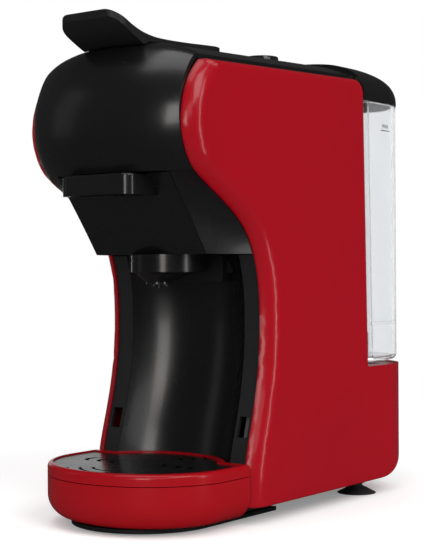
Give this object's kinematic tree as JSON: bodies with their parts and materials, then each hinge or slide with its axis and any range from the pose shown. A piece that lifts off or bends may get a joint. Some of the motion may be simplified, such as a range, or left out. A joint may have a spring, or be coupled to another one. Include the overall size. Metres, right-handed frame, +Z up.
{
  "type": "pod coffee machine",
  "caption": "Slim upright capsule coffee machine with a lifting lever, a capsule drawer with its spout, a pull-out drip tray and a lift-off water tank.",
  "frame": {"origin": "middle of the overall box in X and Y, on the surface the machine stands on", "axes": "+Z up, -Y towards the drip tray at the front, +Y towards the water tank, X across the machine"},
  "size_m": [0.12, 0.2521, 0.2764],
  "materials": {
    "red_gloss": "deep red moulded plastic with a hard gloss",
    "tray_red": "darker red moulded plastic, gloss",
    "black_gloss": "gloss black moulded plastic",
    "button_gloss": "gloss black buttons",
    "satin_lever": "satin black, soft to the touch",
    "dark_satin": "satin charcoal moulded plastic",
    "black_moulding": "matt black moulded plastic",
    "frame_moulding": "glass-filled grey moulding",
    "pump_moulding": "pump body, dark moulding with a wound coil",
    "pale_nylon": "natural nylon",
    "valve_moulding": "dark grey valve cage",
    "clear_tank": "clear moulded plastic",
    "steel": "stainless steel",
    "zinc_sheet": "zinc plated steel sheet",
    "zinc_screw": "zinc plated screws",
    "cast_aluminium": "cast aluminium heater block",
    "circuit_board": "green circuit board",
    "rubber": "black rubber",
    "seal_rubber": "silicone seal",
    "hose_rubber": "translucent silicone hose"
  },
  "bodies": {
    "root": {"side_shell_right": "red_gloss", "side_shell_left": "red_gloss", "head_cover": "black_gloss", "top_cover": "black_gloss", "bay_wall": "black_gloss", "bay_ceiling": "black_moulding", "tray_rail_right": "dark_satin", "tray_rail_left": "dark_satin", "base_plate": "black_moulding", "front_pads": "rubber", "suction_feet": "rubber", "rear_wall": "black_moulding", "tank_deck": "black_moulding", "rear_cover": "dark_satin", "cable_gland": "rubber", "tank_socket": "pale_nylon", "socket_seal": "seal_rubber", "inner_frame": "frame_moulding", "heater_shelf": "zinc_sheet", "thermoblock": "cast_aluminium", "pump": "pump_moulding", "pump_mounts": "rubber", "flow_meter": "pale_nylon", "suction_hose": "hose_rubber", "control_board": "circuit_board", "case_screws": "zinc_screw", "brew_head": "frame_moulding", "lever_pin": "steel"},
    "lever": {"lever_handle": "satin_lever", "crank_pin": "steel"},
    "links": {"lever_links": "zinc_sheet"},
    "piston": {"brew_piston": "frame_moulding", "piston_pin": "steel", "piston_seal": "seal_rubber", "shower_plate": "steel"},
    "drawer": {"drawer_front": "black_gloss", "drawer_frame": "black_moulding", "spout": "black_gloss", "spout_outlet": "black_gloss", "capsule_basket": "frame_moulding"},
    "tray": {"tray_tub": "tray_red", "tray_rim": "tray_red"},
    "grille": {"drip_grille": "black_gloss"},
    "tank": {"water_tank": "clear_tank", "tank_valve_body": "valve_moulding"},
    "lid": {"tank_lid": "black_gloss"},
    "valve": {"valve_plunger": "pale_nylon", "valve_spring": "steel"},
    "left_button": {"brew_button_left": "button_gloss"},
    "right_button": {"brew_button_right": "button_gloss"}
  },
  "joints": [
    {"name": "lever_hinge", "type": "hinge", "parent": "root", "child": "lever", "pos_m": [0, -0.024, 0.261], "axis": [-1, 0, 0], "range_deg": [0, 75]},
    {"name": "link_swing", "type": "hinge", "parent": "lever", "child": "links", "pos_m": [0, -0.028, 0.241], "axis": [-1, 0, 0], "range_deg": [-105, 0]},
    {"name": "piston_slide", "type": "slide", "parent": "root", "child": "piston", "axis": [0, 0, 1], "range_m": [0, 0.0136]},
    {"name": "drawer_slide", "type": "slide", "parent": "root", "child": "drawer", "axis": [0, -1, 0], "range_m": [0, 0.1]},
    {"name": "tray_slide", "type": "slide", "parent": "root", "child": "tray", "axis": [0, -1, 0], "range_m": [0, 0.09]},
    {"name": "grille_lift", "type": "slide", "parent": "tray", "child": "grille", "axis": [0, 0, 1], "range_m": [0, 0.03]},
    {"name": "tank_lift", "type": "slide", "parent": "root", "child": "tank", "axis": [0, 0, 1], "range_m": [0, 0.06]},
    {"name": "lid_lift", "type": "slide", "parent": "tank", "child": "lid", "axis": [0, 0, 1], "range_m": [0, 0.03]},
    {"name": "valve_slide", "type": "slide", "parent": "tank", "child": "valve", "axis": [0, 0, 1], "range_m": [0, 0.003], "stiffness_N_per_m": 200, "deforming": ["valve_spring"]},
    {"name": "left_button_press", "type": "slide", "parent": "root", "child": "left_button", "axis": [0, 0, -1], "range_m": [0, 0.0012], "stiffness_N_per_m": 800},
    {"name": "right_button_press", "type": "slide", "parent": "root", "child": "right_button", "axis": [0, 0, -1], "range_m": [0, 0.0012], "stiffness_N_per_m": 800}
  ],
  "couplings": [
    {"joint": "link_swing", "follows": "lever_hinge", "ratio": -1.393},
    {"joint": "piston_slide", "follows": "lever_hinge", "m_per_rad": 0.01033}
  ]
}
